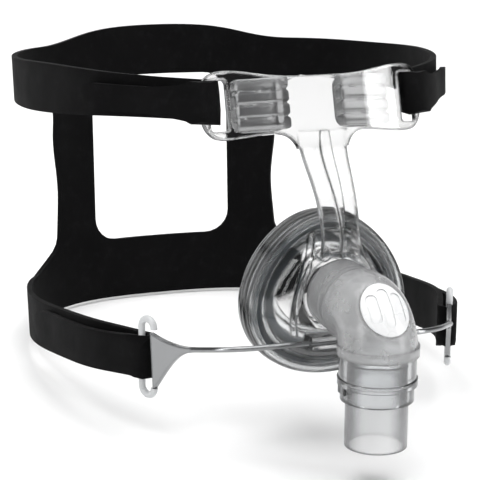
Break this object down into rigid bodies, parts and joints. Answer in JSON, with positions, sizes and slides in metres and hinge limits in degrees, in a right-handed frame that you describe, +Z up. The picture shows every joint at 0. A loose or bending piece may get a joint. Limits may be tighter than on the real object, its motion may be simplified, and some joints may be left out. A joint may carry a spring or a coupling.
{
  "type": "nasal cpap mask with headgear",
  "caption": "Nasal breathing mask: clear shell with forehead support, silicone seal, sliding steel strap bar, swivel elbow with hose connector, and black one-piece headgear.",
  "frame": {"origin": "middle of the seal's opening on the face side, where the wearer's nose goes in", "axes": "+Z up along the wearer's face, +Y towards the back of the head, +X to the wearer's left"},
  "size_m": [0.1744, 0.2787, 0.1369],
  "materials": {
    "clear_plastic": "clear polycarbonate, glossy",
    "clear_silicone": "clear silicone, soft gloss",
    "grey_foam": "soft, matt",
    "pad_silicone": "clear silicone, slightly hazy",
    "black_laminate": "smooth knit-faced laminate, matt",
    "hook_tape": "hook tape",
    "polished_steel": "polished stainless steel",
    "white_plastic": "glossy white",
    "frosted_plastic": "frosted polycarbonate",
    "vent_plastic": "translucent white",
    "white_fibre": "felted fibre",
    "collar_plastic": "crystal clear polycarbonate",
    "hazy_plastic": "clear, slightly hazy"
  },
  "bodies": {
    "mask": {"mask_frame": "clear_plastic", "seal_cushion": "clear_silicone", "inner_cushion": "grey_foam", "forehead_pad_left": "pad_silicone", "forehead_pad_right": "pad_silicone", "headgear": "black_laminate", "top_hook_tab_left": "hook_tape", "top_hook_tab_right": "hook_tape", "lower_hook_tab_left": "hook_tape", "lower_hook_tab_right": "hook_tape"},
    "glider_bar": {"glider": "polished_steel", "strap_clip_left": "white_plastic", "strap_clip_right": "white_plastic"},
    "elbow_unit": {"elbow": "frosted_plastic", "vent_cap": "vent_plastic", "diffuser_pad": "white_fibre", "swivel_collar": "collar_plastic"},
    "hose_end": {"connector_tube": "hazy_plastic"}
  },
  "joints": [
    {"name": "glider_slide", "type": "slide", "parent": "mask", "child": "glider_bar", "axis": [1, 0, 0], "range_m": [-0.01, 0.01], "deforming": ["headgear"]},
    {"name": "elbow_swivel", "type": "hinge", "parent": "mask", "child": "elbow_unit", "pos_m": [0, -0.05, 0.003], "axis": [0, 1, 0], "continuous": true},
    {"name": "hose_swivel", "type": "hinge", "parent": "elbow_unit", "child": "hose_end", "pos_m": [0, -0.072, -0.03], "axis": [0, 0, 1], "continuous": true}
  ]
}
